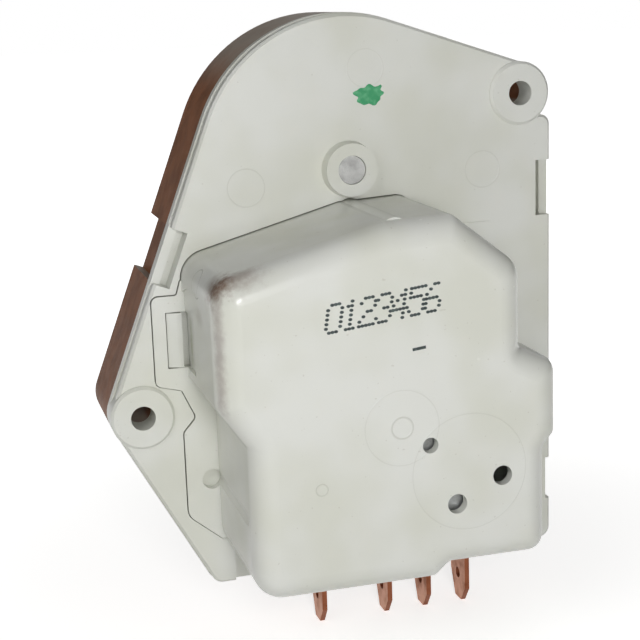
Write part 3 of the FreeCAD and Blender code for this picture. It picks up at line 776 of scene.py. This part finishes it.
@dataclass
class InkMarks:
    """The ink on the case: the dotted figures, the dash below them and the green tick."""

    lean: float = 6.5
    slant: float = 0.16
    dot_wide: float = 0.60
    dot_high: float = 0.46
    dot_sides: int = 8
    dot_rim: float = 0.07
    column_pitch: float = 0.50
    row_pitch: float = 0.62
    figure_pitch: float = 2.36
    thick: float = 0.03
    rise: float = 0.012
    start: tuple[float, float] = (-8.2, -6.45)
    margin: float = 0.3
    dash_place: tuple[float, float] = (4.8, -9.8)
    dash_size: tuple[float, float] = (1.95, 0.42)
    dash_rim: float = 0.09
    tick_place: tuple[float, float] = (6.3, 23.2)
    tick_size: tuple[float, float] = (2.05, 1.45)
    tick_sides: int = 48
    tick_rim: float = 0.2
    tick_rise: float = 0.01
    spike_reach: float = 0.9
    figures: tuple[tuple[str, ...], ...] = (
        ("01110", "10001", "10001", "10001", "10001", "10001", "01110"),
        ("00100", "01100", "00100", "00100", "00100", "00100", "01110"),
        ("01110", "10001", "00001", "00110", "01000", "10000", "11111"),
        ("01110", "10001", "00001", "00110", "00001", "10001", "01110"),
        ("00010", "00110", "01010", "10010", "11111", "00010", "00010"),
        ("11111", "10000", "11110", "00001", "00001", "10001", "01110"),
        ("00110", "01000", "10000", "11110", "10001", "10001", "01110"),
    )
    black: PrintInk = PrintInk("black_ink", srgb(34, 46, 46), srgb(72, 86, 84), 0.5)
    green: PrintInk = PrintInk("green_ink", srgb(46, 150, 96), srgb(92, 176, 128), 1.1)

    def dot(self) -> bpy.types.Object:
        """Model one ink dot with a rounded front.

        Returns:
            The dot, at the origin.
        """
        clear_selection()
        bpy.ops.mesh.primitive_cylinder_add(vertices=self.dot_sides, radius=0.5 * MM, depth=self.thick * MM,
                                            location=(0, 0, 0), rotation=(math.pi / 2, 0, 0))
        piece = bpy.context.active_object
        piece.scale = (self.dot_wide, self.dot_high, 1.0)
        settle(piece)
        raise_front(piece, self.dot_rim, self.rise)
        return piece

    def figure_dots(self) -> list[tuple[float, float]]:
        """Work out where the dots of the figures go.

        Returns:
            X and Z of each dot in millimetres.
        """
        slope = math.tan(math.radians(self.lean))
        places = []
        for index, rows in enumerate(self.figures):
            for row, line in enumerate(rows):
                for column, mark in enumerate(line):
                    if mark == "1":
                        up = (len(rows) - 1 - row) * self.row_pitch
                        across = index * self.figure_pitch + column * self.column_pitch - self.margin
                        x = self.start[0] + across + self.slant * up
                        places.append((x, self.start[1] + up + (x - self.start[0]) * slope))
        return places

    def build(self) -> None:
        """Build and dress the ink marks."""
        dot = self.dot()
        copies = []
        y = (COVER_Y - self.thick / 2) * MM
        for x, z in self.figure_dots():
            copy = dot.copy()
            copy.data = dot.data.copy()
            copy.data.transform(Matrix.Translation(Vector((x * MM, y, z * MM))))
            bpy.context.collection.objects.link(copy)
            copies.append(copy)
        bpy.data.objects.remove(dot)
        clear_selection()
        for copy in copies:
            copy.select_set(True)
        bpy.context.view_layer.objects.active = copies[0]
        bpy.ops.object.join()
        finish_piece(copies[0], "printed_figures", "case", self.black.build())
        self.build_dash()
        self.build_tick()

    def build_dash(self) -> None:
        """Build the short printed dash below the figures."""
        clear_selection()
        x, z = self.dash_place
        y = COVER_Y - self.thick / 2
        bpy.ops.mesh.primitive_cube_add(size=1.0, location=(x * MM, y * MM, z * MM))
        piece = bpy.context.active_object
        long, high = self.dash_size
        piece.scale = (long * MM, self.thick * MM, high * MM)
        piece.rotation_euler = (0, -math.radians(self.lean), 0)
        settle(piece)
        raise_front(piece, self.dash_rim, self.rise)
        finish_piece(piece, "printed_dash", "case", bpy.data.materials["black_ink"])

    def build_tick(self) -> None:
        """Build the green ink tick on the plate: a wavy blot with two strokes that run out of it."""
        clear_selection()
        x, z = self.tick_place
        place = Vector((x * MM, (PLATE_Y - self.thick / 2) * MM, z * MM))
        long, high = self.tick_size
        bpy.ops.mesh.primitive_cylinder_add(vertices=self.tick_sides, radius=1.0 * MM, depth=self.thick * MM,
                                            location=(0, 0, 0), rotation=(math.pi / 2, 0, 0))
        piece = bpy.context.active_object
        settle(piece)
        for vertex in piece.data.vertices:
            angle = math.atan2(vertex.co.z, vertex.co.x)
            reach = 1.0 + 0.10 * math.sin(5 * angle + 0.6) + 0.07 * math.sin(9 * angle)
            spike = 0.95 * math.exp(-((angle - 0.72) / 0.16) ** 2) + 0.35 * math.exp(-((angle - 2.9) / 0.25) ** 2)
            vertex.co.x *= long * reach + spike * self.spike_reach
            vertex.co.z *= high * reach + spike * self.spike_reach
            vertex.co += place
        raise_front(piece, self.tick_rim, self.tick_rise)
        finish_piece(piece, "green_tick", "case", self.green.build())


@dataclass
class Mouldings:
    """The three moulded pieces of the case."""

    plate: IvoryMoulding = IvoryMoulding(
        "plate_moulding",
        circles=(
            Circle((-13.0, 0.0, 10.7), 2.8, 0.12, 0.5),
            Circle((24.2, 0.0, 11.1), 2.8, 0.12, 0.5),
            Circle((5.8, 0.0, 27.2), 2.8, 0.12, 0.4),
        ),
    )
    cover: IvoryMoulding = IvoryMoulding(
        "cover_moulding",
        circles=(
            Circle((2.1, 0.0, -20.9), 1.55, 0.22, 1.0),
            Circle((2.1, 0.0, -20.9), 5.4, 0.10, 0.5),
            Circle((12.0, 0.0, -28.4), 8.5, 0.10, 0.5),
            Circle((-9.7, 0.0, -28.4), 0.85, 0.14, 0.8),
            Circle((-22.8, -28.0, -1.0), 2.1, 0.16, 1.4, (1.0, 1.0, 1.0)),
        ),
        stains=(
            Stain((-22.5, -38.9, 0.5), 3.4, 0.90),
            Stain((-22.4, -36.5, 0.2), 3.6, 0.40),
            Stain((-19.8, -39.8, 1.6), 3.2, 0.50, (0.6, 1.0, 1.0)),
            Stain((-23.0, -40.6, -7.0), 1.6, 0.50, (1.0, 1.0, 0.06), srgb(132, 112, 108)),
            Stain((-23.0, -19.5, -11.0), 1.6, 0.60, (1.0, 1.0, 0.25), srgb(148, 152, 104)),
            Stain((-23.0, -29.0, -5.5), 1.8, 0.30, (1.0, 0.5, 1.0), srgb(146, 128, 112)),
        ),
        roughness=0.26,
    )
    housing: BrownMoulding = BrownMoulding()

    def build(self) -> None:
        """Dress the moulded pieces."""
        dress("mid_cover", self.plate.build())
        dress("motor_cover", self.cover.build())
        dress("rear_housing", self.housing.build())


@dataclass
class Terminals:
    """The four tabs and the switch leaves that they carry."""

    # The copper tabs carry a painted dark reflection on their front faces.
    copper: SheetMetal = SheetMetal(
        "copper_tab", srgb(196, 142, 114), srgb(150, 98, 70),
        roughness=0.42, tarnish_share=0.5, painted_dark_reflection=srgb(128, 70, 44),
    )
    leaf: SheetMetal = SheetMetal("leaf_metal", srgb(206, 170, 112), srgb(150, 116, 70), roughness=0.3)
    silver: SheetMetal = SheetMetal(
        "contact_silver", srgb(216, 216, 212), srgb(150, 146, 138), Pattern.EVEN,
        roughness=0.28, tarnish_share=0.4,
    )

    def build(self) -> None:
        """Dress the tabs, leaves and contacts."""
        copper = self.copper.build()
        for name in ("terminal_motor", "terminal_break", "terminal_common", "terminal_make"):
            dress(name, copper)
        leaf = self.leaf.build()
        for name in ("break_leaf", "common_leaf", "make_leaf"):
            dress(name, leaf)
        silver = self.silver.build()
        for name in ("break_contact", "common_contacts", "make_contact"):
            dress(name, silver)


@dataclass
class Motor:
    """The synchronous motor inside the cover."""

    steel: SheetMetal = SheetMetal(
        "stator_steel", srgb(168, 170, 170), srgb(112, 110, 104), Pattern.AROUND_AXIS, roughness=0.38,
    )
    shaft: SheetMetal = SheetMetal(
        "shaft_steel", srgb(176, 176, 174), srgb(126, 126, 124), Pattern.EVEN,
        roughness=0.34, tarnish_share=0.4,
    )
    bobbin: PlainMoulding = PlainMoulding("bobbin_moulding", srgb(206, 196, 168), srgb(184, 172, 140))
    magnet: PlainMoulding = PlainMoulding(
        "magnet", srgb(66, 64, 66), srgb(46, 44, 46), roughness=0.5, grain_size=0.25, grain_depth=0.02,
    )
    hub: PlainMoulding = PlainMoulding("rotor_hub_moulding", srgb(226, 222, 206), srgb(206, 200, 180))
    wire: WoundWire = WoundWire()

    def build(self) -> None:
        """Dress the motor."""
        steel = self.steel.build()
        dress("stator_cup", steel)
        dress("stator_plate", steel)
        dress("rotor_shaft", self.shaft.build())
        dress("coil_bobbin", self.bobbin.build())
        dress("coil_winding", self.wire.build())
        dress("rotor_magnet", self.magnet.build())
        dress("rotor_hub", self.hub.build())


@dataclass
class GearTrain:
    """The gears, pins, cam, shaft and hand knob."""

    moulding: PlainMoulding = PlainMoulding(
        "gear_moulding", srgb(232, 229, 214), srgb(212, 207, 186), roughness=0.4,
    )
    knob: PlainMoulding = PlainMoulding(
        "knob_moulding", srgb(236, 234, 224), srgb(214, 210, 194), roughness=0.42,
    )

    def build(self) -> None:
        """Dress the gear train."""
        moulding = self.moulding.build()
        for name in ("first_gear", "second_gear", "cam_wheel"):
            dress(name, moulding)
        shaft = bpy.data.materials["shaft_steel"]
        for name in ("first_gear_pin", "second_gear_pin", "cam_shaft"):
            dress(name, shaft)
        dress("advance_knob", self.knob.build())


@dataclass
class Lamp:
    """A soft square lamp that faces the object."""

    name: str
    place: tuple[float, float, float]
    size: float
    power: float
    target: tuple[float, float, float] = (0.0, -0.02, -0.01)

    def build(self) -> None:
        """Hang the lamp."""
        data = bpy.data.lights.new(self.name, "AREA")
        data.shape = "SQUARE"
        data.size = self.size
        data.energy = self.power
        lamp = bpy.data.objects.new(self.name, data)
        lamp.location = self.place
        aim = Vector(self.target) - Vector(self.place)
        lamp.rotation_euler = aim.to_track_quat("-Z", "Y").to_euler()
        bpy.context.collection.objects.link(lamp)


@dataclass
class Studio:
    """The table, the lamps, the sky and the camera, in metres."""

    table: TableTop = TableTop()
    table_width: float = 6.0
    eye: Colour = (-0.05928, -0.2228, 0.03742)
    right: Colour = (0.96101, -0.27441, -0.03406)
    up: Colour = (0.09189, 0.20075, 0.97532)
    ahead: Colour = (0.26080, 0.94042, -0.21814)
    lens: float = 80.83
    sensor_width: float = 36.0
    clip_start: float = 0.01
    sky: float = 0.11
    lamps: tuple[Lamp, ...] = (
        Lamp("near_lamp", (-0.04, -0.26, 0.04), 0.06, 0.235),
        Lamp("front_lamp", (0.02, -0.60, -0.03), 0.08, 0.26),
        Lamp("side_lamp", (-0.45, -0.35, 0.35), 0.40, 0.85),
        Lamp("back_lamp", (0.35, 0.60, 0.45), 0.60, 1.0),
    )

    def build(self) -> None:
        """Set up the studio."""
        clear_selection()
        bpy.ops.mesh.primitive_plane_add(size=self.table_width, location=(0, 0, FLOOR_Z * MM))
        floor = bpy.context.active_object
        floor.name = "table_top"
        settle(floor)
        floor.data.materials.append(self.table.build())
        for lamp in self.lamps:
            lamp.build()
        self.build_sky()
        self.build_camera()
        bpy.context.scene.view_settings.view_transform = "Standard"

    def build_sky(self) -> None:
        """Make a pale sky that is white where it is seen directly."""
        world = bpy.data.worlds.new("pale_sky")
        bpy.context.scene.world = world
        world.use_nodes = True
        tree = world.node_tree
        background = tree.nodes["Background"]
        background.inputs["Color"].default_value = (1.0, 1.0, 1.0, 1.0)
        path = tree.nodes.new("ShaderNodeLightPath")
        seen = tree.nodes.new("ShaderNodeMath")
        seen.operation = "MAXIMUM"
        tree.links.new(path.outputs["Is Camera Ray"], seen.inputs[0])
        tree.links.new(path.outputs["Is Transmission Ray"], seen.inputs[1])
        strength = tree.nodes.new("ShaderNodeMath")
        strength.operation = "MAXIMUM"
        strength.inputs[1].default_value = self.sky
        tree.links.new(seen.outputs["Value"], strength.inputs[0])
        tree.links.new(strength.outputs["Value"], background.inputs["Strength"])

    def build_camera(self) -> None:
        """Place the camera as the photograph was taken."""
        data = bpy.data.cameras.new("camera")
        data.lens = self.lens
        data.sensor_width = self.sensor_width
        data.clip_start = self.clip_start
        camera = bpy.data.objects.new("camera", data)
        across, upward, back = Vector(self.right), Vector(self.up), -Vector(self.ahead)
        turn = Matrix((across, upward, back)).transposed()
        camera.matrix_world = Matrix.Translation(self.eye) @ turn.to_4x4()
        bpy.context.collection.objects.link(camera)
        bpy.context.scene.camera = camera


def main() -> None:
    """Dress the timer and set it in the studio."""
    logging.basicConfig(level=logging.INFO, format="%(name)s: %(message)s")
    for assembly in (Mouldings(), Terminals(), Motor(), GearTrain(), InkMarks(), Studio()):
        assembly.build()
        log.info("finished %s", type(assembly).__name__)


if __name__ == "__main__":
    main()
